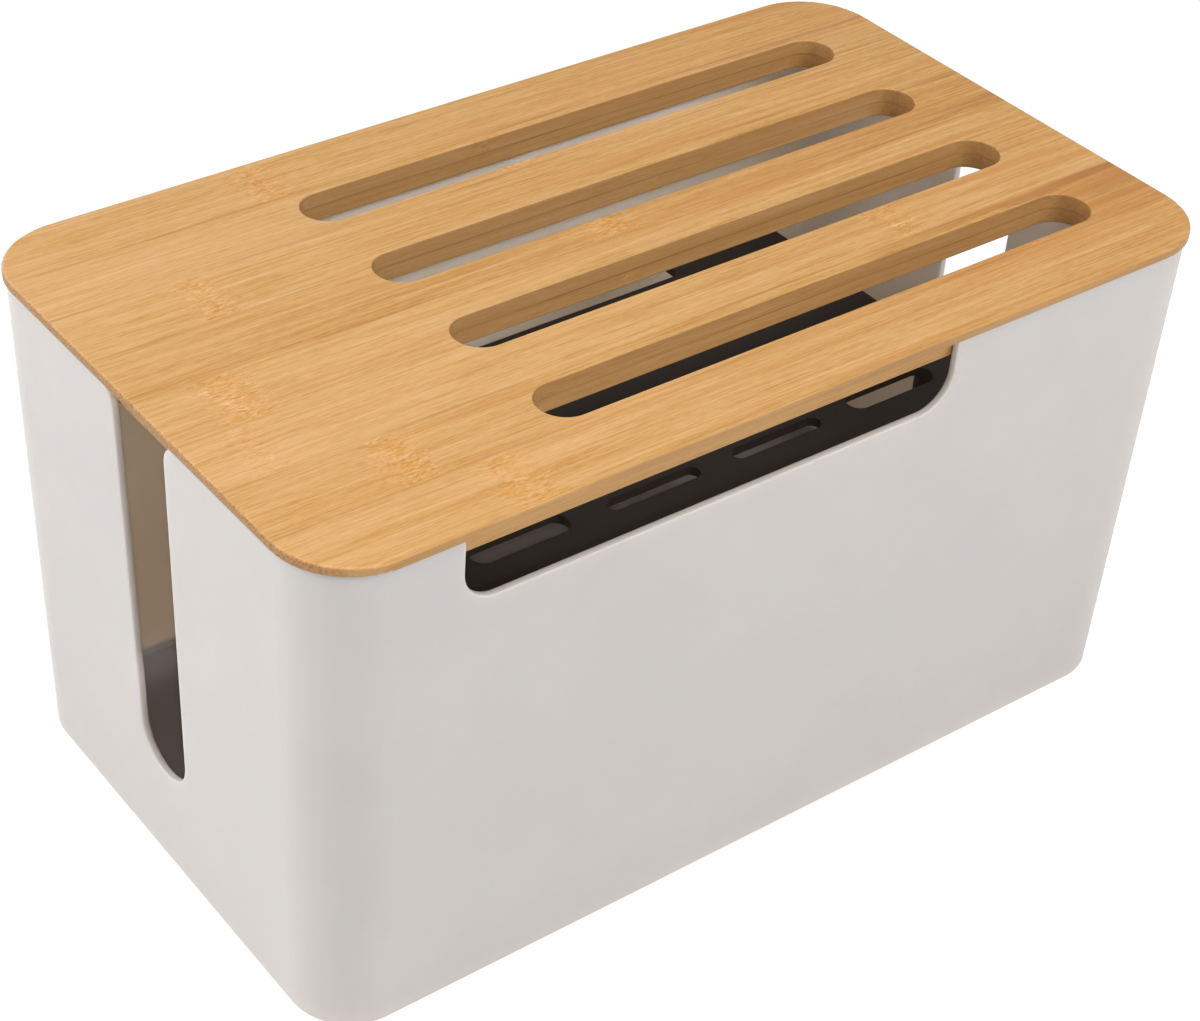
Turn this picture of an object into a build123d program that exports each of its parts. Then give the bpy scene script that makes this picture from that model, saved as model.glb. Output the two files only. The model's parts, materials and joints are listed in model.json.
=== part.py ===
"""Router storage box: a tapered plastic tub with a slotted bamboo lid and a lift-out shelf on four legs.

Frame: millimetres, +Z up, +X along the length, and the wall with the cable notch faces -Y.
The origin is the centre of the footprint, on the surface that the foot pads stand on.
"""

from build123d import *
import os

# Lid board
LID_LENGTH = 320.0
LID_WIDTH = 188.0
LID_THICKNESS = 10.0
LID_LIP_THICKNESS = 3.0
LID_CORNER_RADIUS = 24.0
LID_OVERHANG = 1.0
LID_PLUG_CLEARANCE = 0.6
LID_EDGE_RADIUS = 0.9
LID_ARRIS_RADIUS = 0.4

# Vent slots through the lid
VENT_COUNT = 4
VENT_LENGTH = 204.6
VENT_WIDTH = 17.2
VENT_PITCH = 39.6
VENT_OFFSET_X = 32.5
VENT_EDGE_RADIUS = 0.5

# Tub
TUB_HEIGHT = 167.5
TUB_WALL = 2.5
TUB_FLOOR = 3.0
TUB_TAPER_X = 2.9
TUB_TAPER_Y = 3.9
TUB_BASE_CORNER_RADIUS = 20.0
TUB_BASE_EDGE_RADIUS = 1.2
TUB_INSIDE_RADIUS = 1.5
TUB_EDGE_RADIUS = 0.5

# Cable slot in each end wall, open to the rim
END_SLOT_RIM_WIDTH = 28.0
END_SLOT_SILL_WIDTH = 25.0
END_SLOT_SILL_HEIGHT = 36.5
END_SLOT_SILL_FLAT = 0.6
END_SLOT_RIM_RADIUS = 8.0

# Cable notch in the rim of the front wall
NOTCH_LEFT_X = -116.0
NOTCH_RIGHT_X = 53.0
NOTCH_DEPTH = 22.5
NOTCH_CORNER_RADIUS = 11.0
NOTCH_RIM_RADIUS = 2.0

# Foot pads, part sunk in pockets under the base
PAD_DIAMETER = 14.0
PAD_THICKNESS = 2.5
PAD_PROUD = 1.5
PAD_CLEARANCE = 0.25
PAD_INSET = 24.0
PAD_EDGE_RADIUS = 0.4

# Shelf plate and the skirt round its edge, with the gaps left for cables at the foot of the walls
SHELF_END_GAP = 54.1
SHELF_SIDE_GAP = 14.6
SHELF_THICKNESS = 3.0
SHELF_TOP_ABOVE_FLOOR = 119.0
SHELF_CORNER_RADIUS = 8.0
SHELF_EDGE_RADIUS = 0.6
SKIRT_DEPTH = 5.0
SKIRT_WALL = 2.2

# Row of vents near the shelf's front edge, the outer two wider than the others
SHELF_VENT_COUNT = 4
SHELF_VENT_END_MARGIN = 13.45
SHELF_VENT_GAP = 12.7
SHELF_VENT_WIDTH = 5.5
SHELF_VENT_OUTER_WIDTH = 8.5
SHELF_VENT_MARGIN = 14.7

# Cable opening near the shelf's back edge
CABLE_OPENING_LENGTH = 111.0
CABLE_OPENING_WIDTH = 28.0
CABLE_OPENING_MARGIN = 11.5
CABLE_OPENING_RADIUS = 4.0

# Legs: tapered posts whose spigots push into bosses under the shelf
LEG_TOP_DIAMETER = 12.0
LEG_FOOT_DIAMETER = 10.0
LEG_FOOT_RADIUS = 0.8
LEG_END_INSET = 6.5
LEG_SIDE_INSET = 23.5
SPIGOT_DIAMETER = 6.0
SPIGOT_LENGTH = 5.5
SPIGOT_CLEARANCE = 0.1
BOSS_WALL = 2.9
BOSS_DEPTH = 8.0

# Heights and sizes that follow from the values above
TUB_BASE_Z = PAD_PROUD
TUB_RIM_Z = TUB_BASE_Z + TUB_HEIGHT
FLOOR_TOP_Z = TUB_BASE_Z + TUB_FLOOR
LID_TOP_Z = TUB_RIM_Z + LID_LIP_THICKNESS
LID_UNDERSIDE_Z = LID_TOP_Z - LID_THICKNESS
SHELF_TOP_Z = FLOOR_TOP_Z + SHELF_TOP_ABOVE_FLOOR
SHELF_UNDERSIDE_Z = SHELF_TOP_Z - SHELF_THICKNESS
SKIRT_FOOT_Z = SHELF_UNDERSIDE_Z - SKIRT_DEPTH
LEG_TOP_Z = SHELF_UNDERSIDE_Z - BOSS_DEPTH

RIM_LENGTH = LID_LENGTH - 2 * LID_OVERHANG
RIM_WIDTH = LID_WIDTH - 2 * LID_OVERHANG
RIM_CORNER_RADIUS = LID_CORNER_RADIUS - LID_OVERHANG
BASE_LENGTH = RIM_LENGTH - 2 * TUB_TAPER_X
BASE_WIDTH = RIM_WIDTH - 2 * TUB_TAPER_Y
SHELF_LENGTH = BASE_LENGTH - 2 * (TUB_WALL + SHELF_END_GAP)
SHELF_WIDTH = BASE_WIDTH - 2 * (TUB_WALL + SHELF_SIDE_GAP)
SHELF_VENT_ROW = SHELF_LENGTH - 2 * SHELF_VENT_END_MARGIN
SHELF_VENT_PITCH = (SHELF_VENT_ROW + SHELF_VENT_GAP) / SHELF_VENT_COUNT
SHELF_VENT_LENGTH = SHELF_VENT_PITCH - SHELF_VENT_GAP

SPIGOT_BORE_DIAMETER = SPIGOT_DIAMETER + 2 * SPIGOT_CLEARANCE
BOSS_DIAMETER = SPIGOT_BORE_DIAMETER + 2 * BOSS_WALL

# Allowances of the cutting tools
OVERRUN = 5.0
TOLERANCE = 0.01

CORNERS = {
    "front_left": (-1, -1),
    "front_right": (1, -1),
    "back_left": (-1, 1),
    "back_right": (1, 1),
}


def rounded_slab(length, width, radius, bottom, top):
    """An upright slab with rounded corners, centred on the Z axis."""
    outline = Pos(0, 0, bottom) * RectangleRounded(length, width, radius)
    return extrude(outline, top - bottom)


def tub_form(inset, bottom, top):
    """The tub's tapered form between two heights, with every wall moved in by inset."""
    sections = []
    for height in (bottom, top):
        share = (height - TUB_BASE_Z) / TUB_HEIGHT
        length = BASE_LENGTH + 2 * TUB_TAPER_X * share - 2 * inset
        width = BASE_WIDTH + 2 * TUB_TAPER_Y * share - 2 * inset
        corner = TUB_BASE_CORNER_RADIUS + (RIM_CORNER_RADIUS - TUB_BASE_CORNER_RADIUS) * share
        sections.append(Pos(0, 0, height) * RectangleRounded(length, width, corner - inset))
    return loft(sections, ruled=True)


def rim_opening(rim_width, sill_width, depth, sill_radius):
    """The outline of an opening that runs down from the rim, with round corners at its sill.

    The sketch's X is along the wall from the opening's middle, and its Y is the height from the rim.
    """
    spread = (rim_width - sill_width) / 2 / depth * OVERRUN
    outline = Polyline(
        (-sill_width / 2, -depth),
        (sill_width / 2, -depth),
        (rim_width / 2 + spread, OVERRUN),
        (-rim_width / 2 - spread, OVERRUN),
        close=True,
    )
    face = make_face(outline)
    return fillet(face.vertices().sort_by(Axis.Y)[:2], sill_radius)


def end_slot_cutters():
    """One cutter for the cable slot in each end wall."""
    depth = TUB_HEIGHT - END_SLOT_SILL_HEIGHT
    sill_radius = (END_SLOT_SILL_WIDTH - END_SLOT_SILL_FLAT) / 2
    profile = rim_opening(END_SLOT_RIM_WIDTH, END_SLOT_SILL_WIDTH, depth, sill_radius)
    reach = TUB_TAPER_X + TUB_WALL + 2 * OVERRUN
    cutters = []
    for side in (-1, 1):
        wall = Plane(origin=(side * RIM_LENGTH / 2, 0, TUB_RIM_Z), x_dir=(0, 1, 0), z_dir=(1, 0, 0))
        cutters.append(extrude(wall * profile, reach, both=True))
    return cutters


def notch_cutter():
    """The cutter for the cable notch in the front wall's rim."""
    width = NOTCH_RIGHT_X - NOTCH_LEFT_X
    profile = rim_opening(width, width, NOTCH_DEPTH, NOTCH_CORNER_RADIUS)
    middle = (NOTCH_LEFT_X + NOTCH_RIGHT_X) / 2
    wall = Plane(origin=(middle, -RIM_WIDTH / 2, TUB_RIM_Z), x_dir=(1, 0, 0), z_dir=(0, -1, 0))
    return extrude(wall * profile, TUB_TAPER_Y + TUB_WALL + OVERRUN, both=True)


def rim_corner_edges(solid, axis):
    """The short edges across the wall where an opening's side meets the rim."""
    at_rim = solid.edges().filter_by(axis).filter_by_position(Axis.Z, TUB_RIM_Z - TOLERANCE, TUB_RIM_Z + TOLERANCE)
    return [edge for edge in at_rim if edge.length < TUB_WALL + 2 * TOLERANCE]


def mouth_edges(shell):
    """The edges round the rim and the openings, on the outer and inner faces of the walls."""
    sill_z = TUB_BASE_Z + END_SLOT_SILL_HEIGHT - TOLERANCE
    above_sill = [edge for edge in shell.edges() if edge.bounding_box().min.Z > sill_z]
    return [edge for edge in above_sill if abs(edge.length - TUB_WALL) > TOLERANCE]


def pad_places():
    """Name and centre of each foot pad."""
    reach_x = BASE_LENGTH / 2 - PAD_INSET
    reach_y = BASE_WIDTH / 2 - PAD_INSET
    return {name: (x * reach_x, y * reach_y) for name, (x, y) in CORNERS.items()}


def leg_places():
    """Name and centre of each shelf leg."""
    reach_x = SHELF_LENGTH / 2 - LEG_END_INSET
    reach_y = SHELF_WIDTH / 2 - LEG_SIDE_INSET
    return {name: (x * reach_x, y * reach_y) for name, (x, y) in CORNERS.items()}


def make_box_shell():
    """The tub: floor and walls in one moulding, with its cable openings and foot pockets."""
    outside = tub_form(0, TUB_BASE_Z, TUB_RIM_Z)
    outside = fillet(outside.faces().sort_by(Axis.Z)[0].edges(), TUB_BASE_EDGE_RADIUS)
    inside = tub_form(TUB_WALL, FLOOR_TOP_Z, TUB_RIM_Z + OVERRUN)
    inside = fillet(inside.faces().sort_by(Axis.Z)[0].edges(), TUB_INSIDE_RADIUS)
    shell = outside - inside
    for cutter in end_slot_cutters():
        shell -= cutter
    shell = fillet(rim_corner_edges(shell, Axis.X), END_SLOT_RIM_RADIUS)
    shell -= notch_cutter()
    shell = fillet(rim_corner_edges(shell, Axis.Y), NOTCH_RIM_RADIUS)
    shell = fillet(mouth_edges(shell), TUB_EDGE_RADIUS)
    pocket_depth = PAD_THICKNESS - PAD_PROUD
    for x, y in pad_places().values():
        pocket = Cylinder(PAD_DIAMETER / 2 + PAD_CLEARANCE, pocket_depth + OVERRUN)
        shell -= Pos(x, y, TUB_BASE_Z + (pocket_depth - OVERRUN) / 2) * pocket
    return shell


def make_foot_pad(x, y):
    """A round anti-slip pad, seated in its pocket."""
    pad = Pos(x, y, PAD_THICKNESS / 2) * Cylinder(PAD_DIAMETER / 2, PAD_THICKNESS)
    return fillet(pad.edges().sort_by(Axis.Z)[0], PAD_EDGE_RADIUS)


def make_bamboo_lid():
    """The lid board: a lip on the rim, a rebated plug inside it and the vent slots."""
    lip = rounded_slab(LID_LENGTH, LID_WIDTH, LID_CORNER_RADIUS, TUB_RIM_Z, LID_TOP_Z)
    lip = fillet(lip.faces().sort_by(Axis.Z)[-1].edges(), LID_EDGE_RADIUS)
    lip = fillet(lip.faces().sort_by(Axis.Z)[0].edges(), LID_ARRIS_RADIUS)
    plug_inset = TUB_WALL + LID_PLUG_CLEARANCE
    plug = rounded_slab(
        RIM_LENGTH - 2 * plug_inset,
        RIM_WIDTH - 2 * plug_inset,
        RIM_CORNER_RADIUS - plug_inset,
        LID_UNDERSIDE_Z,
        TUB_RIM_Z,
    )
    plug = fillet(plug.faces().sort_by(Axis.Z)[0].edges(), LID_ARRIS_RADIUS)
    lid = lip + plug
    for index in range(VENT_COUNT):
        y = (index - (VENT_COUNT - 1) / 2) * VENT_PITCH
        outline = Pos(VENT_OFFSET_X, y, LID_UNDERSIDE_Z - OVERRUN) * SlotOverall(VENT_LENGTH, VENT_WIDTH)
        lid -= extrude(outline, LID_THICKNESS + 2 * OVERRUN)
    mouths = lid.faces().sort_by(Axis.Z)[-1].inner_wires() + lid.faces().sort_by(Axis.Z)[0].inner_wires()
    mouth_edges = [edge for wire in mouths for edge in wire.edges()]
    return fillet(mouth_edges, VENT_EDGE_RADIUS)


def make_inner_shelf():
    """The shelf: a plate with a short skirt, a row of vents, a cable opening and a boss for each leg."""
    shelf = rounded_slab(SHELF_LENGTH, SHELF_WIDTH, SHELF_CORNER_RADIUS, SKIRT_FOOT_Z, SHELF_TOP_Z)
    shelf = fillet(shelf.faces().sort_by(Axis.Z)[-1].edges(), SHELF_EDGE_RADIUS)
    shelf -= rounded_slab(
        SHELF_LENGTH - 2 * SKIRT_WALL,
        SHELF_WIDTH - 2 * SKIRT_WALL,
        SHELF_CORNER_RADIUS - SKIRT_WALL,
        SKIRT_FOOT_Z - OVERRUN,
        SHELF_UNDERSIDE_Z,
    )
    cut_depth = SHELF_THICKNESS + 2 * OVERRUN
    for index in range(SHELF_VENT_COUNT):
        at_end = index in (0, SHELF_VENT_COUNT - 1)
        width = SHELF_VENT_OUTER_WIDTH if at_end else SHELF_VENT_WIDTH
        x = (index - (SHELF_VENT_COUNT - 1) / 2) * SHELF_VENT_PITCH
        y = -SHELF_WIDTH / 2 + SHELF_VENT_MARGIN + width / 2
        outline = Pos(x, y, SHELF_UNDERSIDE_Z - OVERRUN) * SlotOverall(SHELF_VENT_LENGTH, width)
        shelf -= extrude(outline, cut_depth)
    opening = RectangleRounded(CABLE_OPENING_LENGTH, CABLE_OPENING_WIDTH, CABLE_OPENING_RADIUS)
    y = SHELF_WIDTH / 2 - CABLE_OPENING_MARGIN - CABLE_OPENING_WIDTH / 2
    shelf -= extrude(Pos(0, y, SHELF_UNDERSIDE_Z - OVERRUN) * opening, cut_depth)
    bore_depth = SPIGOT_LENGTH + SPIGOT_CLEARANCE
    for x, y in leg_places().values():
        shelf += Pos(x, y, LEG_TOP_Z + BOSS_DEPTH / 2) * Cylinder(BOSS_DIAMETER / 2, BOSS_DEPTH)
        shelf -= Pos(x, y, LEG_TOP_Z + bore_depth / 2) * Cylinder(SPIGOT_BORE_DIAMETER / 2, bore_depth)
    return shelf


def make_shelf_leg(x, y):
    """One leg: a tapered post on the tub's floor, with a spigot in the shelf's boss."""
    height = LEG_TOP_Z - FLOOR_TOP_Z
    post = Pos(x, y, FLOOR_TOP_Z + height / 2) * Cone(LEG_FOOT_DIAMETER / 2, LEG_TOP_DIAMETER / 2, height)
    post = fillet(post.edges().sort_by(Axis.Z)[0], LEG_FOOT_RADIUS)
    return post + Pos(x, y, LEG_TOP_Z + SPIGOT_LENGTH / 2) * Cylinder(SPIGOT_DIAMETER / 2, SPIGOT_LENGTH)


nodes = {
    "box_shell": make_box_shell(),
    "bamboo_lid": make_bamboo_lid(),
    "inner_shelf": make_inner_shelf(),
}
for name, (x, y) in leg_places().items():
    nodes["shelf_leg_" + name] = make_shelf_leg(x, y)
for name, (x, y) in pad_places().items():
    nodes["foot_pad_" + name] = make_foot_pad(x, y)

os.makedirs("parts", exist_ok=True)
for name, solid in nodes.items():
    solid.label = name
    export_step(solid, os.path.join("parts", name + ".step"))
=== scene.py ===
"""Looks of a router storage box: a white moulded tub, a slotted bamboo lid and a black lift-out shelf.

All sizes are metres in the part's own frame: +X along the length, +Z up, and the notched wall faces -Y.
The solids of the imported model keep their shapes. Each gets a procedural finish on Object coordinates, so
that a pattern stays on its piece when the lid or the shelf is lifted.
"""

import json
import logging
import math
from dataclasses import dataclass
from enum import Enum

import bpy
import numpy as np
from mathutils import Matrix, Vector

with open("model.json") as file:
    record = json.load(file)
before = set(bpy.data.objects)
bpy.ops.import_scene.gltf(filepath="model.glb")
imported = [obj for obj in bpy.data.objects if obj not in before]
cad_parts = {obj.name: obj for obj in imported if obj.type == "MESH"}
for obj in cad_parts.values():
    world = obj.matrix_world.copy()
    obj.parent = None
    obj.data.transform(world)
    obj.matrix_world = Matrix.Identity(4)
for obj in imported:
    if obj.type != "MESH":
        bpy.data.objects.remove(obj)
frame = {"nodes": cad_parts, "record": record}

LOG = logging.getLogger("router_storage_box")
MM = 0.001
IMAGE_WIDTH_PX = 1200.0
SENSOR_WIDTH_MM = 36.0
WHITE = (1.0, 1.0, 1.0, 1.0)
# Most values of a soft noise lie in this range
NOISE_RANGE = (0.3, 0.7)

# Short names of types
Tree = bpy.types.NodeTree
Node = bpy.types.Node
Socket = bpy.types.NodeSocket
Cells = tuple[float, float, float]


class Layer(Enum):
    """Which of the lid board's two glued layers a bamboo node lies in."""

    TOP = "top"
    BOTTOM = "bottom"


def linear(hex_colour: str) -> tuple[float, float, float, float]:
    """Turns an sRGB hex colour into linear RGBA, by the sRGB curve.

    Args:
        hex_colour: Six hex digits with a leading #.

    Returns:
        Linear red, green and blue, and an alpha of 1.
    """
    channels = [int(hex_colour[start : start + 2], 16) / 255 for start in (1, 3, 5)]
    red, green, blue = (c / 12.92 if c <= 0.04045 else ((c + 0.055) / 1.055) ** 2.4 for c in channels)
    return red, green, blue, 1.0


def towards(azimuth: float, elevation: float) -> Vector:
    """Gives the direction in which a lamp or the camera stands, seen from what it looks at.

    Args:
        azimuth: Degrees round +Z, from the notched wall's side towards the right end.
        elevation: Degrees above the floor.

    Returns:
        The unit vector.
    """
    around, above = math.radians(azimuth), math.radians(elevation)
    return Vector(
        (math.sin(around) * math.cos(above), -math.cos(around) * math.cos(above), math.sin(above))
    )


def add_node(
    tree: Tree, kind: str, inputs: dict[str | int, object] | None = None, **settings: object
) -> Node:
    """Adds a node, sets its properties and fills its inputs.

    Args:
        tree: Node tree that gets the node.
        kind: The node's type name, without the leading ShaderNode.
        inputs: Value or source for each input, by name or index. A node as source gives its first
            enabled output. Inputs 0 to 4 of a Map Range are its value, the range that this comes in and
            the range that it goes out in. Inputs 0, 6 and 7 of a colour Mix are its amount and colours.
        **settings: Properties of the node.

    Returns:
        The new node.
    """
    node = tree.nodes.new("ShaderNode" + kind)
    for name, value in settings.items():
        setattr(node, name, value)
    for name, source in (inputs or {}).items():
        if isinstance(source, Node):
            source = next(output for output in source.outputs if output.enabled)
        if isinstance(source, Socket):
            tree.links.new(source, node.inputs[name])
        else:
            node.inputs[name].default_value = source
    return node


def stretched_noise(tree: Tree, place: Node | Socket, cells: Cells, **inputs: float) -> Socket:
    """Reads a soft noise whose cells are longer one way than the other.

    Args:
        tree: Node tree that gets the noise.
        place: Coordinates that it follows.
        cells: Cells per metre along X, Y and Z.
        **inputs: Inputs of the noise, such as Detail.

    Returns:
        The noise, from 0 to 1 and about 0.5 on average.
    """
    stretched = add_node(tree, "Mapping", {"Vector": place, "Scale": cells})
    return add_node(tree, "TexNoise", {"Vector": stretched, "Scale": 1.0, **inputs}).outputs["Fac"]


def seen_rays(tree: Tree) -> Node:
    """Marks the rays that show a surface, and not the ones that light another.

    Args:
        tree: Node tree that gets the nodes.

    Returns:
        1 where the camera, a reflection or a refraction looks, and 0 elsewhere.
    """
    rays = add_node(tree, "LightPath")
    camera, glossy = rays.outputs["Is Camera Ray"], rays.outputs["Is Glossy Ray"]
    seen = add_node(tree, "Math", {0: camera, 1: glossy}, operation="MAXIMUM")
    return add_node(tree, "Math", {0: seen, 1: rays.outputs["Is Transmission Ray"]}, operation="MAXIMUM")


def new_material(name: str) -> tuple[bpy.types.Material, Tree]:
    """Makes an empty node material.

    Args:
        name: Name of the material.

    Returns:
        The material and its empty node tree.
    """
    material = bpy.data.materials.new(name)
    material.use_nodes = True
    material.node_tree.nodes.clear()
    return material, material.node_tree


def ramp_stops(node: Node, stops: tuple[tuple[float, str], ...]) -> Node:
    """Fills a Color Ramp with colours.

    Args:
        node: The Color Ramp node.
        stops: Position and sRGB hex colour of each stop, in rising order.

    Returns:
        The same node.
    """
    elements = node.color_ramp.elements
    while len(elements) < len(stops):
        elements.new(1.0)
    for element, (position, colour) in zip(elements, stops):
        element.position = position
        element.color = linear(colour)
    return node


def grid_object(name: str, points: np.ndarray) -> bpy.types.Object:
    """Makes a mesh object from a grid of points, with a quad between each four neighbours.

    Args:
        name: Name of the object and its mesh.
        points: Array of shape (rows, columns, 3), in metres.

    Returns:
        The object, linked to the scene.
    """
    rows, columns = points.shape[:2]
    corner = np.arange(rows * columns).reshape(rows, columns)
    quads = np.stack([corner[:-1, :-1], corner[:-1, 1:], corner[1:, 1:], corner[1:, :-1]], -1)
    mesh = bpy.data.meshes.new(name)
    mesh.from_pydata(points.reshape(-1, 3), [], quads.reshape(-1, 4))
    mesh.update()
    made = bpy.data.objects.new(name, mesh)
    bpy.context.scene.collection.objects.link(made)
    return made


def dress(node_name: str, material: bpy.types.Material) -> None:
    """Gives every material slot of a CAD node one material.

    Args:
        node_name: Name of the CAD node.
        material: The finish.
    """
    node = frame["nodes"][node_name]
    if not node.material_slots:
        node.data.materials.append(material)
    for slot in node.material_slots:
        slot.material = material


@dataclass(frozen=True)
class BambooNode:
    """A knuckle that crosses one bamboo strip, where the culm had a joint.

    x and y are its middle on the board, and strength says how much it shows.
    """

    x: float
    y: float
    strength: float = 1.0
    layer: Layer = Layer.TOP
    half_length: float = 7.5 * MM
    half_width: float = 11.75 * MM


@dataclass(frozen=True)
class HeartStreak:
    """A red-brown band along the fibres, at y, that starts at x and grows towards the right end."""

    y: float
    x: float
    half_width: float
    strength: float


@dataclass(frozen=True)
class LaminatedBamboo:
    """Caramel moso bamboo: flat-pressed strips glued side by side in two layers, sanded and lacquered.

    The strips are 23.5 mm wide and run along X. Each has its own tone, long fibres about 1 mm apart, and
    a knuckle of short slanting strokes about every 250 mm. Faces across the grain show the fibre ends as
    dots. The satin lacquer gives a broad soft highlight. Cells are counted per metre along X, Y and Z,
    and a pair named noise says between which values of its noise, from 0 to 1, a pattern comes in.
    """

    # The board and its strips. Along X, tones and streaks are at their full strength at full_at_x.
    full_at_x: float = 150.0 * MM
    board_half_width: float = 94.0 * MM
    layer_joint_z: float = 167.0 * MM
    strip_width: float = 23.5 * MM
    bottom_layer_shift: float = 9.0 * MM
    strips_between_layers: int = 20
    strip_spread: tuple[float, float, float] = (1.7, 1.1, 0.6)

    # Colours, from the darkest fibres to the palest
    deep: str = "#845122"
    shade: str = "#B47B34"
    body: str = "#CD9D5E"
    light: str = "#DFB07E"
    pale: str = "#ECCDA0"
    knuckle_orange: str = "#D2913A"
    heart_orange: str = "#C48442"
    heart_brown: str = "#A0632C"
    glue: str = "#7D4A1E"
    # Milled faces: greyer because they are milled, and darker as painted shade
    milled_and_shade: str = "#9C7A52"
    end_grain_dark: str = "#7F542E"

    # Tones: of the strips, painted light at the board's left end and painted shade at its right end, and of
    # each layer of the grain.
    # These are bands 6 mm wide, bundles of fibres 1.6 mm wide, fibres 0.7 mm wide, and cut vessels 0.5 mm
    # wide and
    # 3 mm long. Real vessels are about 0.2 mm wide, which is too fine to show.
    strip_tones: tuple[float, float] = (-0.03, 0.04)
    painted_end_light_and_shade: tuple[float, float] = (0.03, -0.05)
    grain: tuple[tuple[Cells, float], ...] = (
        ((5.0, 160.0, 160.0), 0.2),
        ((16.0, 620.0, 620.0), 0.3),
        ((45.0, 1500.0, 1500.0), 0.4),
        ((260.0, 1700.0, 1700.0), 0.25),
    )

    # Knuckles: ragged ends that fade over knuckle_fade times the half length, fibres that bend,
    # slanting strokes and a stain
    ragged_cells: float = 420.0
    ragged_reach: float = 16.0 * MM
    knuckle_fade: float = 1.2
    knuckle_edge: float = 1.0 * MM
    bend_cells: float = 240.0
    bend_plain: float = 0.2 * MM
    bend_at_knuckle: float = 1.7 * MM
    stroke_cells: Cells = (340.0, 1350.0, 1350.0)
    stroke_turn: float = 0.3
    stroke_tones: tuple[float, float] = (-0.24, 0.34)
    stain_cells: Cells = (190.0, 520.0, 520.0)
    stain_noise: tuple[float, float] = (0.35, 0.6)
    stain_share: float = 0.7

    # Streaks: faint orange ones all over, by a place along X and their share there, and strong ones
    # near the right end, which wander across by heart_drift and keep heart_core of their width full
    warm_cells: Cells = (7.0, 240.0, 240.0)
    warm_noise: tuple[float, float] = (0.5, 0.72)
    warm_left: tuple[float, float] = (-120.0 * MM, 0.12)
    warm_right: tuple[float, float] = (150.0 * MM, 0.75)
    heart_drift_cells: Cells = (22.0, 90.0, 0.0)
    heart_drift: float = 4.0 * MM
    heart_core: float = 0.3
    heart_fibre_cells: Cells = (14.0, 420.0, 420.0)
    heart_fibre_noise: tuple[float, float] = (0.35, 0.6)
    heart_gap_share: float = 0.25

    # Glue lines, drawn wider than the real 0.1 mm, so that they show
    glue_cells: Cells = (14.0, 42.0, 0.0)
    glue_noise: tuple[float, float] = (0.4, 0.65)
    glue_share: float = 0.4
    glue_between_layers: float = 0.35
    glue_beside: tuple[float, float] = (0.2 * MM, 0.7 * MM)
    glue_between: tuple[float, float] = (0.1 * MM, 0.45 * MM)

    # Milled faces, greyer than the lacquered top and darkened by painted shade, and fibre ends. A slope is
    # the part of the normal along Z or X over which they come in.
    # Real fibre bundles are about 0.3 mm across. They are drawn 0.8 mm apart, so that they show.
    milled_and_shade_share: float = 0.5
    milled_and_shade_slope: tuple[float, float] = (0.3, 0.8)
    end_slope: tuple[float, float] = (0.35, 0.85)
    end_cells: Cells = (160.0, 1150.0, 1500.0)
    end_dot_radius: tuple[float, float] = (0.2, 0.6)
    end_dull: float = 0.3
    end_dots_in_slots: float = 0.15
    end_dots_on_rim: float = 0.5
    rim_from_x: tuple[float, float] = (136.0 * MM, 142.0 * MM)

    # Lacquer
    roughness: float = 0.48
    roughness_spread: float = 0.1
    relief_strength: float = 0.5
    relief_depth: float = 0.06 * MM
    ior: float = 1.5
    specular_level: float = 0.3

    # Strong streaks: y, start along X, half width and strength
    streaks: tuple[HeartStreak, ...] = (
        HeartStreak(70.5 * MM, 105.0 * MM, 1.2 * MM, 0.5),
        HeartStreak(23.2 * MM, 120.0 * MM, 0.7 * MM, 0.6),
        HeartStreak(5.0 * MM, 20.0 * MM, 4.5 * MM, 0.4),
        HeartStreak(-48.8 * MM, 30.0 * MM, 3.0 * MM, 0.75),
        HeartStreak(-58.0 * MM, 122.0 * MM, 10.0 * MM, 0.5),
        HeartStreak(-68.5 * MM, 112.0 * MM, 2.5 * MM, 0.6),
    )
    # Knuckles: x, y and strength, and where they differ the layer, half length and half width
    nodes: tuple[BambooNode, ...] = (
        BambooNode(-72.0 * MM, 82.25 * MM, 0.8),
        BambooNode(1.0 * MM, 58.75 * MM, 0.9),
        BambooNode(-117.5 * MM, 35.25 * MM, 0.8),
        BambooNode(3.0 * MM, 11.75 * MM, 1.0),
        BambooNode(-135.5 * MM, -11.75 * MM, 1.0, half_length=8.5 * MM),
        BambooNode(-143.5 * MM, -35.25 * MM, 0.45),
        BambooNode(77.5 * MM, -35.25 * MM, 0.7),
        BambooNode(-113.5 * MM, -58.75 * MM, 1.0, half_length=6.5 * MM),
        BambooNode(104.0 * MM, -58.75 * MM, 0.6),
        BambooNode(-93.0 * MM, -82.25 * MM, 0.8, half_length=8.5 * MM),
        BambooNode(-2.0 * MM, -12.0 * MM, 0.9, Layer.BOTTOM, 4.5 * MM, 6.0 * MM),
        BambooNode(35.0 * MM, 28.0 * MM, 0.5, Layer.BOTTOM, 4.5 * MM, 6.0 * MM),
    )

    def material(self) -> bpy.types.Material:
        """Builds the bamboo.

        Returns:
            The material.
        """
        material, tree = new_material("laminated_bamboo_satin_lacquer")
        place = add_node(tree, "TexCoord").outputs["Object"]
        axes = add_node(tree, "SeparateXYZ", {0: place})
        height = axes.outputs["Z"]
        top_layer = add_node(tree, "Math", {0: height, 1: self.layer_joint_z}, operation="GREATER_THAN")
        strip, edge_distance = self.strips(tree, axes, top_layer)
        strip_random = add_node(tree, "TexWhiteNoise", {"W": strip}, noise_dimensions="1D")
        knuckle = self.knuckles(tree, place, axes, top_layer)
        fibre_place = self.fibre_place(tree, place, strip_random, knuckle)

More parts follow.
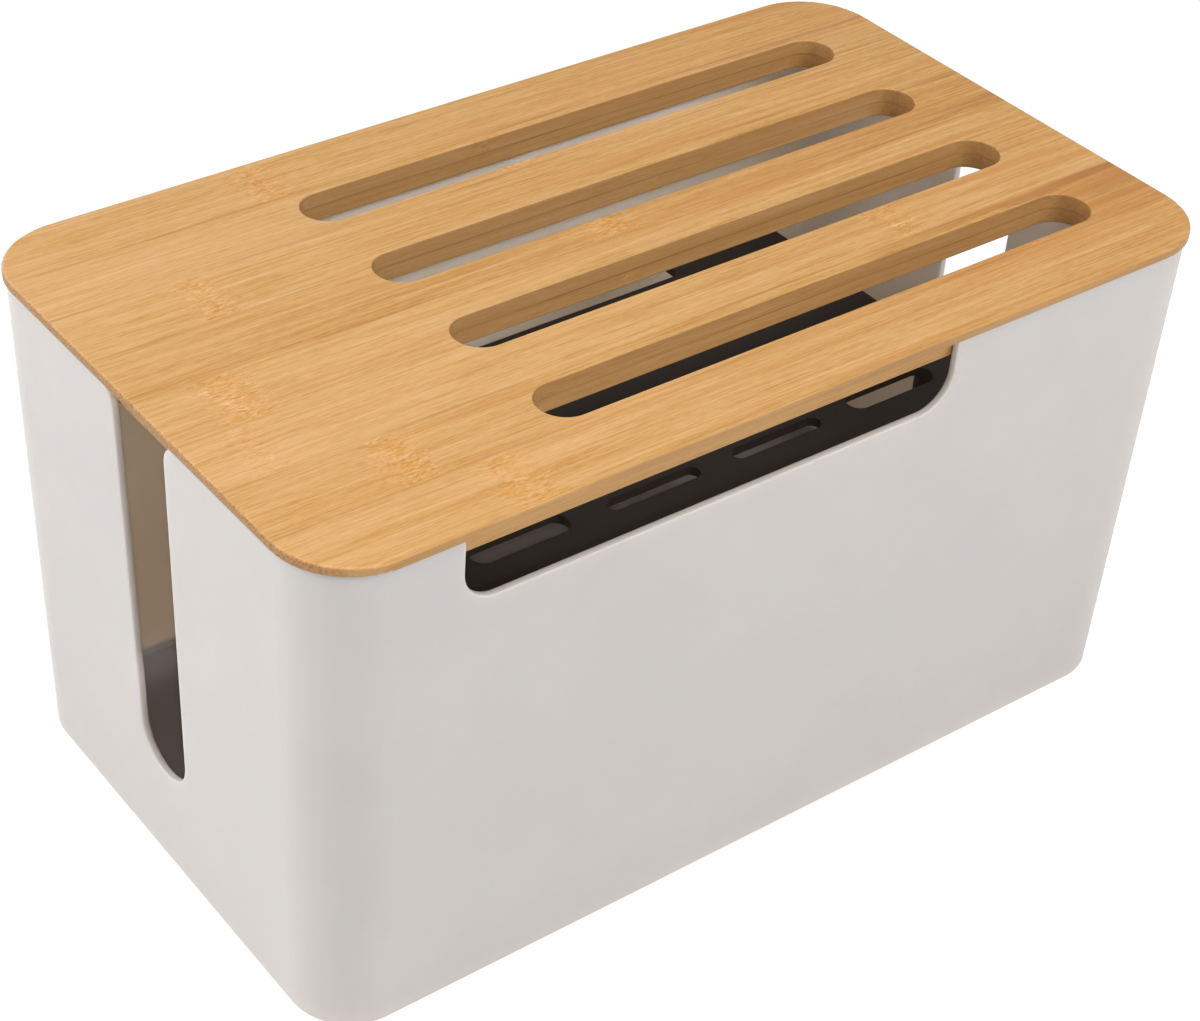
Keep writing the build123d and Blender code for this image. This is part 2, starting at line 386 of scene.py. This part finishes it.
        tone = self.tone(tree, axes, fibre_place, strip_random, knuckle)
        stops = ((0.0, self.deep), (0.3, self.shade), (0.5, self.body), (0.7, self.light), (1.0, self.pale))
        colour = ramp_stops(add_node(tree, "ValToRGB", {0: tone}), stops)
        colour = self.warm_streaks(tree, colour, fibre_place, axes)
        colour = self.heart_streaks(tree, colour, place, axes, fibre_place)
        colour = self.knuckle_stain(tree, colour, fibre_place, knuckle)
        colour = self.glue_lines(tree, colour, place, axes, edge_distance)
        colour, dots = self.end_grain(tree, colour, place, axes)

        raised = add_node(tree, "Math", {0: tone, 1: dots}, operation="SUBTRACT")
        relief = {"Strength": self.relief_strength, "Distance": self.relief_depth, "Height": raised}
        dull, glossy = self.roughness + self.roughness_spread, self.roughness - self.roughness_spread
        shader = add_node(
            tree,
            "BsdfPrincipled",
            {
                "Base Color": colour,
                "Roughness": add_node(tree, "MapRange", {0: tone, 3: dull, 4: glossy}),
                "Normal": add_node(tree, "Bump", relief),
                "IOR": self.ior,
                "Specular IOR Level": self.specular_level,
            },
        )
        add_node(tree, "OutputMaterial", {"Surface": shader})
        return material

    def strips(self, tree: Tree, axes: Node, top_layer: Node) -> tuple[Node, Node]:
        """Numbers the strips across Y, with other numbers in the bottom layer.

        Args:
            tree: The material's node tree.
            axes: Separated Object coordinates.
            top_layer: 1 in the top layer and 0 in the bottom one.

        Returns:
            The strip's number, and the distance to its nearer long edge as a share of its width.
        """
        bottom_shift = self.bottom_layer_shift + self.strip_width * self.strips_between_layers
        across = add_node(tree, "Math", {0: axes.outputs["Y"], 1: self.board_half_width}, operation="ADD")
        shift = add_node(tree, "MapRange", {0: top_layer, 3: bottom_shift, 4: 0.0})
        shifted = add_node(tree, "Math", {0: across, 1: shift}, operation="ADD")
        count = add_node(tree, "Math", {0: shifted, 1: self.strip_width}, operation="DIVIDE")
        number = add_node(tree, "Math", {0: count}, operation="FLOOR")
        edge_distance = add_node(tree, "Math", {0: count, 1: 0.5}, operation="PINGPONG")
        return number, edge_distance

    def fibre_place(self, tree: Tree, place: Socket, strip_random: Node, knuckle: Node) -> Node:
        """Gives each strip a place of its own in the fibre pattern, and bends its fibres at a knuckle.

        Args:
            tree: The material's node tree.
            place: Object coordinates.
            strip_random: Random numbers of the strip.
            knuckle: Mask of the bamboo nodes.

        Returns:
            Coordinates that the fibres follow.
        """
        spread = {0: strip_random.outputs["Color"], 1: self.strip_spread}
        own_place = add_node(tree, "VectorMath", spread, operation="MULTIPLY")
        noise = add_node(tree, "TexNoise", {"Vector": place, "Scale": self.bend_cells, "Detail": 1.0})
        size = add_node(tree, "MapRange", {0: knuckle, 3: self.bend_plain, 4: self.bend_at_knuckle})
        bend = add_node(tree, "VectorMath", {0: noise.outputs["Color"], "Scale": size}, operation="SCALE")
        shifted = add_node(tree, "VectorMath", {0: place, 1: own_place}, operation="ADD")
        return add_node(tree, "VectorMath", {0: shifted, 1: bend}, operation="ADD")

    def knuckles(self, tree: Tree, place: Socket, axes: Node, top_layer: Node) -> Node:
        """Marks the bamboo nodes, each a zone across its whole strip with ragged ends.

        Args:
            tree: The material's node tree.
            place: Object coordinates.
            axes: Separated Object coordinates. Not used.
            top_layer: 1 in the top layer and 0 in the bottom one.

        Returns:
            A mask from 0 on plain bamboo to 1 in the middle of a strong knuckle.
        """
        reach, average = (self.ragged_reach, 0.0, 0.0), (0.5, 0.5, 0.5)
        ragged = add_node(tree, "TexNoise", {"Vector": place, "Scale": self.ragged_cells, "Detail": 1.0})
        wobble = add_node(
            tree, "VectorMath", {0: ragged.outputs["Color"], 1: average}, operation="SUBTRACT"
        )
        wobble = add_node(tree, "VectorMath", {0: wobble, 1: reach}, operation="MULTIPLY")
        wobbled = add_node(tree, "VectorMath", {0: place, 1: wobble}, operation="ADD")
        bottom_layer = add_node(tree, "Math", {0: 1.0, 1: top_layer}, operation="SUBTRACT")
        total = 0.0
        for node in self.nodes:
            middle = (node.x, node.y, 0.0)
            away = add_node(tree, "VectorMath", {0: wobbled, 1: middle}, operation="SUBTRACT")
            away = add_node(tree, "VectorMath", {0: away}, operation="ABSOLUTE")
            away = add_node(tree, "SeparateXYZ", {0: away})
            fade = {0: away.outputs["X"], 1: 0.0, 2: self.knuckle_fade * node.half_length}
            along = add_node(tree, "MapRange", {**fade, 3: node.strength, 4: 0.0})
            fade = {0: away.outputs["Y"], 1: node.half_width - self.knuckle_edge, 2: node.half_width}
            inside = add_node(tree, "MapRange", {**fade, 3: 1.0, 4: 0.0})
            mark = add_node(tree, "Math", {0: along, 1: inside}, operation="MULTIPLY")
            in_layer = top_layer if node.layer is Layer.TOP else bottom_layer
            mark = add_node(tree, "Math", {0: mark, 1: in_layer}, operation="MULTIPLY")
            total = add_node(tree, "Math", {0: total, 1: mark}, operation="MAXIMUM")
        return total

    def tone(self, tree: Tree, axes: Node, fibre_place: Node, strip_random: Node, knuckle: Node) -> Node:
        """Adds up the strip's own tone, broad bands, fibres and the strokes of a knuckle.

        Args:
            tree: The material's node tree.
            axes: Separated Object coordinates.
            fibre_place: Coordinates that the fibres follow.
            strip_random: Random numbers of the strip.
            knuckle: Mask of the bamboo nodes.

        Returns:
            The tone, about 0.5 on average.
        """
        low, high = self.strip_tones
        total = add_node(tree, "MapRange", {0: strip_random.outputs["Value"], 3: low, 4: high})
        # Painted light towards the board's left end and painted shade towards its right end
        left, right = self.painted_end_light_and_shade
        ends = {0: axes.outputs["X"], 1: -self.full_at_x, 2: self.full_at_x}
        along = add_node(tree, "MapRange", {**ends, 3: left, 4: right})
        total = add_node(tree, "Math", {0: total, 1: along}, operation="ADD")
        for cells, weight in self.grain:
            noise = stretched_noise(tree, fibre_place, cells, Detail=2.0, Roughness=0.55)
            part = add_node(tree, "MapRange", {0: noise, 3: -weight / 2, 4: weight / 2}, clamp=False)
            total = add_node(tree, "Math", {0: total, 1: part}, operation="ADD")
        turned = {"Rotation": (0.0, 0.0, self.stroke_turn), "Scale": self.stroke_cells}
        strokes = add_node(tree, "Mapping", {"Vector": fibre_place, **turned})
        curl = {"Scale": 1.0, "Detail": 1.5, "Roughness": 0.6, "Distortion": 0.8}
        noise = add_node(tree, "TexNoise", {"Vector": strokes, **curl}).outputs["Fac"]
        low, high = self.stroke_tones
        rise = {0: noise, 1: NOISE_RANGE[0], 2: NOISE_RANGE[1], 3: low, 4: high}
        part = add_node(tree, "MapRange", rise, clamp=False)
        part = add_node(tree, "Math", {0: part, 1: knuckle}, operation="MULTIPLY")
        total = add_node(tree, "Math", {0: total, 1: part}, operation="ADD")
        return add_node(tree, "Math", {0: total, 1: 0.5}, operation="ADD")

    def warm_streaks(self, tree: Tree, colour: Node, fibre_place: Node, axes: Node) -> Socket:
        """Lays long orange streaks over the board, more of them towards its right end.

        Args:
            tree: The material's node tree.
            colour: Colour so far.
            fibre_place: Coordinates that the fibres follow.
            axes: Separated Object coordinates.

        Returns:
            The colour with the streaks.
        """
        (left, few), (right, many) = self.warm_left, self.warm_right
        noise = stretched_noise(tree, fibre_place, self.warm_cells, Detail=1.0)
        low, high = self.warm_noise
        streak = add_node(tree, "MapRange", {0: noise, 1: low, 2: high})
        along = add_node(tree, "MapRange", {0: axes.outputs["X"], 1: left, 2: right, 3: few, 4: many})
        amount = add_node(tree, "Math", {0: streak, 1: along}, operation="MULTIPLY")
        paint = {0: amount, 6: colour, 7: linear(self.heart_orange)}
        return add_node(tree, "Mix", paint, data_type="RGBA").outputs[2]

    def heart_streaks(
        self, tree: Tree, colour: Socket, place: Socket, axes: Node, fibre_place: Node
    ) -> Socket:
        """Lays the few strong red-brown bands that run to the board's right end.

        Args:
            tree: The material's node tree.
            colour: Colour so far.
            place: Object coordinates.
            axes: Separated Object coordinates.
            fibre_place: Coordinates that the fibres follow.

        Returns:
            The colour with the bands.
        """
        drift = stretched_noise(tree, place, self.heart_drift_cells, Detail=1.0)
        drift = add_node(tree, "MapRange", {0: drift, 3: -self.heart_drift, 4: self.heart_drift})
        across = add_node(tree, "Math", {0: axes.outputs["Y"], 1: drift}, operation="ADD")
        total = 0.0
        for streak in self.streaks:
            away = add_node(tree, "Math", {0: across, 1: streak.y}, operation="SUBTRACT")
            away = add_node(tree, "Math", {0: away}, operation="ABSOLUTE")
            core = self.heart_core * streak.half_width
            fade = {0: away, 1: core, 2: streak.half_width, 3: streak.strength, 4: 0.0}
            inside = add_node(tree, "MapRange", fade, interpolation_type="SMOOTHSTEP")
            grown = add_node(tree, "MapRange", {0: axes.outputs["X"], 1: streak.x, 2: self.full_at_x})
            band = add_node(tree, "Math", {0: inside, 1: grown}, operation="MULTIPLY")
            total = add_node(tree, "Math", {0: total, 1: band}, operation="MAXIMUM")
        fibres = stretched_noise(tree, fibre_place, self.heart_fibre_cells, Detail=2.0)
        low, high = self.heart_fibre_noise
        broken = add_node(tree, "MapRange", {0: fibres, 1: low, 2: high, 3: self.heart_gap_share, 4: 1.0})
        amount = add_node(tree, "Math", {0: total, 1: broken}, operation="MULTIPLY")
        paint = {0: amount, 6: colour, 7: linear(self.heart_brown)}
        return add_node(tree, "Mix", paint, data_type="RGBA").outputs[2]

    def knuckle_stain(self, tree: Tree, colour: Socket, fibre_place: Node, knuckle: Node) -> Socket:
        """Stains parts of each bamboo node golden orange.

        Args:
            tree: The material's node tree.
            colour: Colour so far.
            fibre_place: Coordinates that the fibres follow.
            knuckle: Mask of the bamboo nodes.

        Returns:
            The colour with the stains.
        """
        noise = stretched_noise(tree, fibre_place, self.stain_cells, Detail=2.0)
        low, high = self.stain_noise
        patch = add_node(tree, "MapRange", {0: noise, 1: low, 2: high, 4: self.stain_share})
        amount = add_node(tree, "Math", {0: patch, 1: knuckle}, operation="MULTIPLY")
        paint = {0: amount, 6: colour, 7: linear(self.knuckle_orange)}
        return add_node(tree, "Mix", paint, data_type="RGBA").outputs[2]

    def glue_lines(
        self, tree: Tree, colour: Socket, place: Socket, axes: Node, edge_distance: Node
    ) -> Socket:
        """Draws the glue between neighbouring strips, in stretches, and between the two layers.

        Args:
            tree: The material's node tree.
            colour: Colour so far.
            place: Object coordinates.
            axes: Separated Object coordinates.
            edge_distance: Distance to the strip's nearer edge, as a share of its width.

        Returns:
            The colour with the glue lines.
        """
        noise = stretched_noise(tree, place, self.glue_cells, Detail=1.0)
        low, high = self.glue_noise
        shown = add_node(tree, "MapRange", {0: noise, 1: low, 2: high, 3: 0.0, 4: self.glue_share})
        thin, wide = (size / self.strip_width for size in self.glue_beside)
        beside = add_node(tree, "MapRange", {0: edge_distance, 1: thin, 2: wide, 3: 1.0, 4: 0.0})
        beside = add_node(tree, "Math", {0: beside, 1: shown}, operation="MULTIPLY")
        thin, wide = self.glue_between
        depth = add_node(tree, "Math", {0: axes.outputs["Z"], 1: self.layer_joint_z}, operation="SUBTRACT")
        depth = add_node(tree, "Math", {0: depth}, operation="ABSOLUTE")
        between = add_node(tree, "MapRange", {0: depth, 1: thin, 2: wide, 3: 1.0, 4: 0.0})
        shown = add_node(tree, "Math", {0: shown, 1: self.glue_between_layers}, operation="ADD")
        between = add_node(tree, "Math", {0: between, 1: shown}, operation="MULTIPLY")
        amount = add_node(tree, "Math", {0: beside, 1: between}, operation="MAXIMUM")
        paint = {0: amount, 6: colour, 7: linear(self.glue)}
        return add_node(tree, "Mix", paint, data_type="RGBA").outputs[2]

    def end_grain(self, tree: Tree, colour: Socket, place: Socket, axes: Node) -> tuple[Socket, Node]:
        """Greys the milled faces and darkens them with painted shade, and draws the cut fibre bundles as
        dots on those that look along X.

        Args:
            tree: The material's node tree.
            colour: Colour so far.
            place: Object coordinates.
            axes: Separated Object coordinates.

        Returns:
            The colour with the dots, and the dots alone for the relief.
        """
        facing = add_node(tree, "SeparateXYZ", {0: add_node(tree, "TexCoord").outputs["Normal"]})
        level = add_node(tree, "Math", {0: facing.outputs["Z"]}, operation="ABSOLUTE")
        # Upright faces get the milled colour: greyer because they are milled, and darker as painted shade.
        low, high = self.milled_and_shade_slope
        upright_shade = add_node(tree, "MapRange", {0: level, 1: low, 2: high, 3: self.milled_and_shade_share, 4: 0.0})
        paint = {0: upright_shade, 6: colour, 7: linear(self.milled_and_shade)}
        colour = add_node(tree, "Mix", paint, data_type="RGBA").outputs[2]
        across = add_node(tree, "Math", {0: facing.outputs["X"]}, operation="ABSOLUTE")
        rise = {0: across, 1: self.end_slope[0], 2: self.end_slope[1]}
        across = add_node(tree, "MapRange", rise, interpolation_type="SMOOTHSTEP")
        stretched = add_node(tree, "Mapping", {"Vector": place, "Scale": self.end_cells})
        cells = add_node(tree, "TexVoronoi", {"Vector": stretched, "Scale": 1.0}).outputs["Distance"]
        inner, outer = self.end_dot_radius
        dots = add_node(tree, "MapRange", {0: cells, 1: inner, 2: outer, 3: 1.0, 4: 0.0})
        dots = add_node(tree, "Math", {0: dots, 1: across}, operation="MULTIPLY")
        # Sanding fills the fibre ends in the slots, and leaves them open on the board's two ends.
        start, end = self.rim_from_x
        outwards = add_node(tree, "Math", {0: axes.outputs["X"]}, operation="ABSOLUTE")
        strengths = {3: self.end_dots_in_slots, 4: self.end_dots_on_rim}
        outwards = add_node(tree, "MapRange", {0: outwards, 1: start, 2: end, **strengths})
        dots = add_node(tree, "Math", {0: dots, 1: outwards}, operation="MULTIPLY")
        dull = add_node(tree, "Math", {0: across, 1: self.end_dull}, operation="MULTIPLY")
        amount = add_node(tree, "Math", {0: dots, 1: dull}, operation="ADD")
        paint = {0: amount, 6: colour, 7: linear(self.end_grain_dark)}
        return add_node(tree, "Mix", paint, data_type="RGBA").outputs[2], dots


@dataclass(frozen=True)
class MouldedPlastic:
    """A rigid plastic with the fine grain of a spark-eroded mould, which breaks its gloss into a sheen.

    The real grain is about 0.1 mm. It is drawn coarser, at grain_size, so that it shows in the render.
    light_passes says how much light the plastic lets through, light_tint what that leaves of red, green
    and blue, and light_reach how far it spreads inside the wall.
    """

    name: str
    colour: str
    cloud_colour: str
    roughness: float
    grain_size: float
    grain_depth: float
    ior: float = 1.5
    roughness_spread: float = 0.04
    relief_strength: float = 0.35
    cloud_cells: float = 22.0
    light_passes: float = 0.0
    light_reach: float = 12.0 * MM
    light_tint: tuple[float, float, float] = (1.0, 0.8, 0.6)
    opaque_below: float = 5.0 * MM
    opaque_fade: float = 3.0 * MM

    def material(self) -> bpy.types.Material:
        """Builds the plastic.

        Returns:
            The material.
        """
        material, tree = new_material(self.name)
        place = add_node(tree, "TexCoord").outputs["Object"]
        # Melt flows leave faint clouds a few centimetres across.
        flow = {"Vector": place, "Scale": self.cloud_cells, "Detail": 3.0, "Roughness": 0.6}
        clouds = add_node(tree, "TexNoise", flow).outputs["Fac"]
        low, high = NOISE_RANGE
        cloud = add_node(tree, "MapRange", {0: clouds, 1: low, 2: high})
        paint = {0: cloud, 6: linear(self.colour), 7: linear(self.cloud_colour)}
        colour = add_node(tree, "Mix", paint, data_type="RGBA").outputs[2]
        fine = {"Vector": place, "Scale": 1 / self.grain_size}
        grain = add_node(tree, "TexNoise", {**fine, "Detail": 2.0}).outputs["Fac"]
        pits = add_node(tree, "TexVoronoi", fine).outputs["Distance"]
        raised = add_node(tree, "Math", {0: grain, 1: pits}, operation="ADD")
        relief = {"Strength": self.relief_strength, "Distance": self.grain_depth, "Height": raised}
        glossy, dull = self.roughness - self.roughness_spread, self.roughness + self.roughness_spread
        shader = add_node(
            tree,
            "BsdfPrincipled",
            {
                "Base Color": colour,
                "Roughness": add_node(tree, "MapRange", {0: grain, 1: low, 2: high, 3: glossy, 4: dull}),
                "Normal": add_node(tree, "Bump", relief),
                "IOR": self.ior,
                "Subsurface Radius": self.light_tint,
                "Subsurface Scale": self.light_reach,
            },
        )
        if self.light_passes > 0:
            # Light comes through the walls, but not through the floor, which has the table under it.
            height = add_node(tree, "SeparateXYZ", {0: place}).outputs["Z"]
            fade = {0: height, 1: self.opaque_below, 2: self.opaque_below + self.opaque_fade}
            passes = add_node(tree, "MapRange", {**fade, 4: self.light_passes})
            tree.links.new(passes.outputs[0], shader.inputs["Subsurface Weight"])
        add_node(tree, "OutputMaterial", {"Surface": shader})
        return material


@dataclass(frozen=True)
class PadRubber:
    """Die-cut sheet rubber, dark grey and dull, with a cloth-like pressed face and lint in its pores."""

    colour: str = "#3C3B3A"
    lint: str = "#6A6764"
    lint_noise: tuple[float, float] = (0.55, 0.75)
    lint_share: float = 0.7
    press_pitch: float = 0.6 * MM
    press_depth: float = 0.08 * MM
    press_strength: float = 0.5
    specks_per_pitch: float = 2.5
    roughness_range: tuple[float, float] = (0.78, 0.95)
    ior: float = 1.52

    def material(self) -> bpy.types.Material:
        """Builds the rubber.

        Returns:
            The material.
        """
        material, tree = new_material("die_cut_sheet_rubber")
        place = add_node(tree, "TexCoord").outputs["Object"]
        pressed = {"Vector": place, "Scale": 1 / self.press_pitch}
        weave = add_node(tree, "TexVoronoi", pressed, distance="CHEBYCHEV").outputs["Distance"]
        fine = {"Vector": place, "Scale": self.specks_per_pitch / self.press_pitch, "Detail": 2.0}
        specks = add_node(tree, "TexNoise", fine).outputs["Fac"]
        low, high = self.lint_noise
        lint = add_node(tree, "MapRange", {0: specks, 1: low, 2: high, 4: self.lint_share})
        paint = {0: lint, 6: linear(self.colour), 7: linear(self.lint)}
        relief = {"Strength": self.press_strength, "Distance": self.press_depth, "Height": weave}
        smooth, rough = self.roughness_range
        shader = add_node(
            tree,
            "BsdfPrincipled",
            {
                "Base Color": add_node(tree, "Mix", paint, data_type="RGBA").outputs[2],
                "Roughness": add_node(tree, "MapRange", {0: lint, 3: smooth, 4: rough}),
                "Normal": add_node(tree, "Bump", relief),
                "IOR": self.ior,
            },
        )
        add_node(tree, "OutputMaterial", {"Surface": shader})
        return material


@dataclass(frozen=True)
class StudioPaper:
    """Matt white paper under the box. The camera sees it near white, and it keeps the box's shadow."""

    colour: str = "#DEDEDD"
    shown_share: float = 0.4
    glow: float = 0.8
    fibre_cells: float = 900.0
    fibre_height: float = 0.05 * MM
    relief_strength: float = 0.1

    def material(self) -> bpy.types.Material:
        """Builds the paper.

        Returns:
            The material.
        """
        material, tree = new_material("matt_white_paper")
        place = add_node(tree, "TexCoord").outputs["Object"]
        fibres = add_node(tree, "TexNoise", {"Vector": place, "Scale": self.fibre_cells, "Detail": 2.0})
        relief = {"Strength": self.relief_strength, "Distance": self.fibre_height, "Height": fibres}
        bump = add_node(tree, "Bump", relief)
        paper = add_node(tree, "BsdfDiffuse", {"Color": linear(self.colour), "Normal": bump})
        red, green, blue, alpha = linear(self.colour)
        shown = (red * self.shown_share, green * self.shown_share, blue * self.shown_share, alpha)
        shaded = add_node(tree, "BsdfDiffuse", {"Color": shown, "Normal": bump})
        light = add_node(tree, "Emission", {"Strength": self.glow})
        seen = add_node(tree, "AddShader", {0: shaded, 1: light})
        shader = add_node(tree, "MixShader", {0: seen_rays(tree), 1: paper, 2: seen})
        add_node(tree, "OutputMaterial", {"Surface": shader})
        return material


@dataclass
class Tub:
    """The open moulded tub and the four pads under it."""

    shell_node: str = "box_shell"
    pad_prefix: str = "foot_pad_"

    def dress(self) -> int:
        """Gives the shell its plastic and the pads their rubber.

        Returns:
            How many pieces were dressed.
        """
        # Polypropylene, moulded and pigmented a warm off-white: a broad dull highlight, no reflections.
        plastic = MouldedPlastic(
            name="moulded_polypropylene_warm_white",
            colour="#D0C8C3",
            cloud_colour="#CCC4C0",
            roughness=0.5,
            grain_size=0.7 * MM,
            grain_depth=0.02 * MM,
            light_passes=0.75,
        )
        dress(self.shell_node, plastic.material())
        rubber = PadRubber().material()
        pads = [name for name in frame["nodes"] if name.startswith(self.pad_prefix)]
        for name in pads:
            dress(name, rubber)
        return 1 + len(pads)


@dataclass
class Shelf:
    """The lift-out shelf plate and its four legs."""

    body: str = "shelf"

    def dress(self) -> int:
        """Gives the shelf and its legs their black plastic.

        Returns:
            How many pieces were dressed.
        """
        # Polystyrene, moulded black: deep tone with a satin sheen that greys towards the light.
        plastic = MouldedPlastic(
            name="moulded_polystyrene_satin_black",
            colour="#17120F",
            cloud_colour="#1B1613",
            roughness=0.5,
            grain_size=0.6 * MM,
            grain_depth=0.02 * MM,
        )
        material = plastic.material()
        names = frame["record"]["behaviour"]["bodies"][self.body]
        for name in names:
            dress(name, material)
        return len(names)


@dataclass
class Lid:
    """The slotted bamboo board."""

    node: str = "bamboo_lid"

    def dress(self) -> int:
        """Gives the board its bamboo, and returns how many pieces were dressed."""
        dress(self.node, LaminatedBamboo().material())
        return 1


@dataclass(frozen=True)
class SoftLight:
    """A rectangular lamp behind a diffuser, placed by angles in degrees and distance from its aim."""

    name: str
    azimuth: float
    elevation: float
    distance: float
    width: float
    height: float
    watts: float
    aim: tuple[float, float, float] = (0.0, 0.0, 80.0 * MM)

    def hang(self) -> bpy.types.Object:
        """Hangs the lamp.

        Returns:
            The lamp.
        """
        back = towards(self.azimuth, self.elevation)
        data = bpy.data.lights.new(self.name, "AREA")
        data.shape = "RECTANGLE"
        data.size = self.width
        data.size_y = self.height
        data.energy = self.watts
        lamp = bpy.data.objects.new(self.name, data)
        bpy.context.scene.collection.objects.link(lamp)
        lamp.location = Vector(self.aim) + back * self.distance
        lamp.rotation_euler = back.to_track_quat("Z", "Y").to_euler()
        return lamp


@dataclass
class Studio:
    """White paper floor, an even white surround and soft lamps."""

    floor_radius: float = 6.0
    floor_hole: float = 1.0 * MM
    floor_drop: float = 0.05 * MM
    floor_rings: int = 9
    floor_spokes: int = 97
    surround_light: float = 0.21
    # Name, azimuth, elevation, distance, width, height, watts, and the point aimed at where it differs
    lights: tuple[SoftLight, ...] = (
        SoftLight("softbox_left", -115.0, 25.0, 1.5, 1.0, 1.0, 11.0),
        SoftLight("softbox_left_high", -90.0, 50.0, 1.5, 1.0, 1.0, 6.5),
        SoftLight("striplight_right_front", 0.0, 41.1, 1.38, 1.4, 0.06, 15.0, (0.5, 0.0, 80.0 * MM)),
        SoftLight(
            "light_beside_camera", -37.55, 37.1, 0.82, 0.02, 0.02, 0.65, (-23.1 * MM, -1.5 * MM, 81.5 * MM)
        ),
        SoftLight("softbox_back", 190.0, 10.0, 1.8, 1.6, 0.6, 8.5),
    )

    def lay_floor(self) -> bpy.types.Object:
        """Lays the floor: a disc, point (radius r, turn t) at (r cos t, r sin t), just under the pads.

        Returns:
            The floor.
        """
        radii = self.floor_radius * np.linspace(0, 1, self.floor_rings)[:, None] ** 2 + self.floor_hole
        turns = np.linspace(0, 2 * np.pi, self.floor_spokes)[None, :]
        level = np.full((self.floor_rings, self.floor_spokes), -self.floor_drop)
        points = np.stack([radii * np.cos(turns), radii * np.sin(turns), level], -1)
        floor = grid_object("studio_floor", points)
        floor.data.materials.append(StudioPaper().material())
        return floor

    def surround(self) -> None:
        """Makes the world white where it is seen, and a plain even light elsewhere."""
        world = bpy.data.worlds.new("white_surround")
        world.use_nodes = True
        tree = world.node_tree
        tree.nodes.clear()
        light = add_node(tree, "Background", {"Color": WHITE, "Strength": self.surround_light})
        white = add_node(tree, "Background", {"Color": WHITE, "Strength": 1.0})
        mixed = add_node(tree, "MixShader", {0: seen_rays(tree), 1: light, 2: white})
        add_node(tree, "OutputWorld", {"Surface": mixed})
        bpy.context.scene.world = world

    def build(self) -> int:
        """Builds the floor, the surround and the lamps.

        Returns:
            How many lamps hang.
        """
        self.lay_floor()
        self.surround()
        for light in self.lights:
            light.hang()
        return len(self.lights)


@dataclass
class PhotoCamera:
    """The camera of the photograph, fitted to the straight edges of the box."""

    focal_px: float = 2639.82
    centre_px: float = 540.0
    azimuth: float = -37.55
    elevation: float = 37.10
    roll: float = 2.87
    target: tuple[float, float, float] = (-23.09 * MM, -1.48 * MM, 81.5 * MM)
    distance: float = 818.96 * MM

    def stand(self) -> bpy.types.Object:
        """Stands the camera in its place and makes it the scene's camera.

        Returns:
            The camera.
        """
        roll = math.radians(self.roll)
        back = towards(self.azimuth, self.elevation)
        level_right = (-back).cross(Vector((0.0, 0.0, 1.0))).normalized()
        level_up = back.cross(level_right)
        right = level_right * math.cos(roll) + level_up * math.sin(roll)
        up = level_up * math.cos(roll) - level_right * math.sin(roll)
        data = bpy.data.cameras.new("photo_camera")
        data.sensor_width = SENSOR_WIDTH_MM
        data.lens = self.focal_px * SENSOR_WIDTH_MM / IMAGE_WIDTH_PX
        data.shift_x = (IMAGE_WIDTH_PX / 2 - self.centre_px) / IMAGE_WIDTH_PX
        camera = bpy.data.objects.new("photo_camera", data)
        bpy.context.scene.collection.objects.link(camera)
        turn = Matrix((right, up, back)).transposed().to_4x4()
        camera.matrix_world = Matrix.Translation(Vector(self.target) + back * self.distance) @ turn
        bpy.context.scene.camera = camera
        return camera


def main() -> None:
    """Builds the studio, dresses each sub-assembly and reports each."""
    logging.basicConfig(level=logging.INFO, format="%(name)s: %(message)s")
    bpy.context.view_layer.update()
    bpy.context.scene.view_settings.view_transform = "Standard"
    camera = PhotoCamera().stand()
    LOG.info("camera stands %.3f m up", camera.location.z)
    LOG.info("studio has %d lamps", Studio().build())
    for part in (Tub(), Shelf(), Lid()):
        LOG.info("%s: %d pieces dressed", type(part).__name__.lower(), part.dress())


if __name__ == "__main__":
    main()
